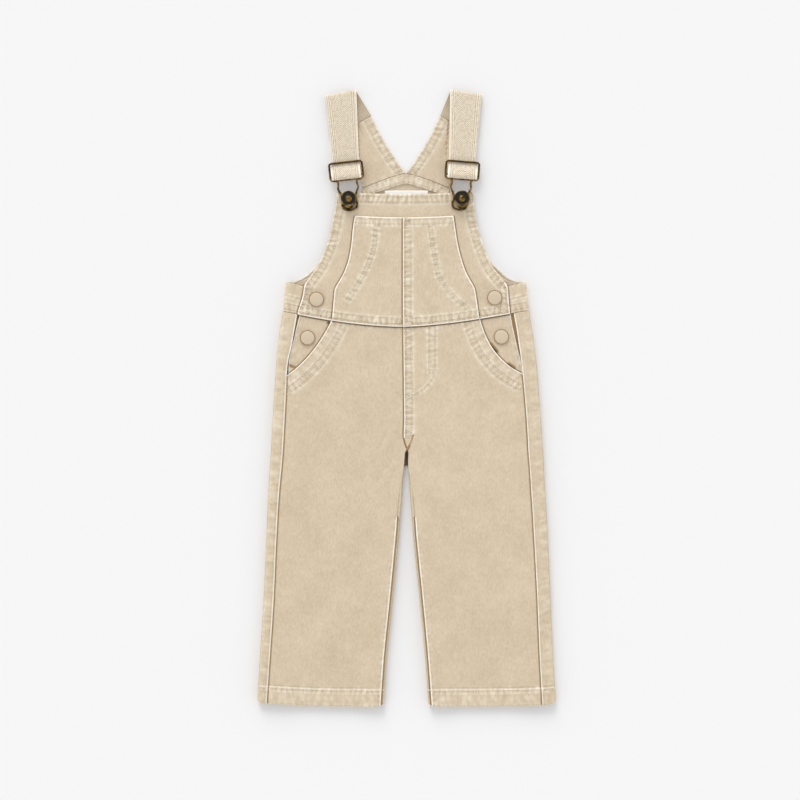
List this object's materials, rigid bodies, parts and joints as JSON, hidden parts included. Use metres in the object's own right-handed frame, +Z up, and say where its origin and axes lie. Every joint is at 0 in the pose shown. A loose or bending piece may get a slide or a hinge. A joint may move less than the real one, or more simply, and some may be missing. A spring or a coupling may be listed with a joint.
{
  "type": "toddler overalls",
  "caption": "Child's bib overalls in sand cotton twill, laid flat front up, with buckled webbing straps, a split bib pocket and snapped side openings.",
  "frame": {"origin": "on the surface, under the middle of the garment's bounding box", "axes": "+Z up, away from the surface; +Y from the hems to the shoulders; +X to the right as seen from above, which is the wearer's left"},
  "size_m": [0.2836, 0.5844, 0.0121],
  "materials": {
    "twill": "washed cotton twill, sand colour, matte, with a soft nap",
    "webbing": "herringbone cotton webbing, lighter than the body, matte",
    "antique_brass": "dark antique brass, satin, worn brighter on its edges",
    "snap_enamel": "beige enamel on a domed metal cap, satin",
    "label": "plain white woven ribbon, satin"
  },
  "bodies": {
    "root": {"back_panel": "twill", "neck_band": "twill", "front_bib": "twill", "label": "label", "back_leg_left": "twill", "back_leg_right": "twill", "front_leg_left": "twill", "front_leg_right": "twill", "hip_facing_left": "twill", "hip_facing_right": "twill", "side_placket_left": "twill", "side_placket_right": "twill", "bib_pocket_left": "twill", "bib_pocket_right": "twill", "yoke_strap_left": "twill", "yoke_strap_right": "twill", "webbing_left": "webbing", "webbing_right": "webbing", "buckle_left": "antique_brass", "buckle_right": "antique_brass", "tack_button_left": "antique_brass", "tack_button_right": "antique_brass", "snap_bib_left": "snap_enamel", "snap_bib_right": "snap_enamel", "snap_hip_left": "snap_enamel", "snap_hip_right": "snap_enamel"}
  },
  "joints": []
}
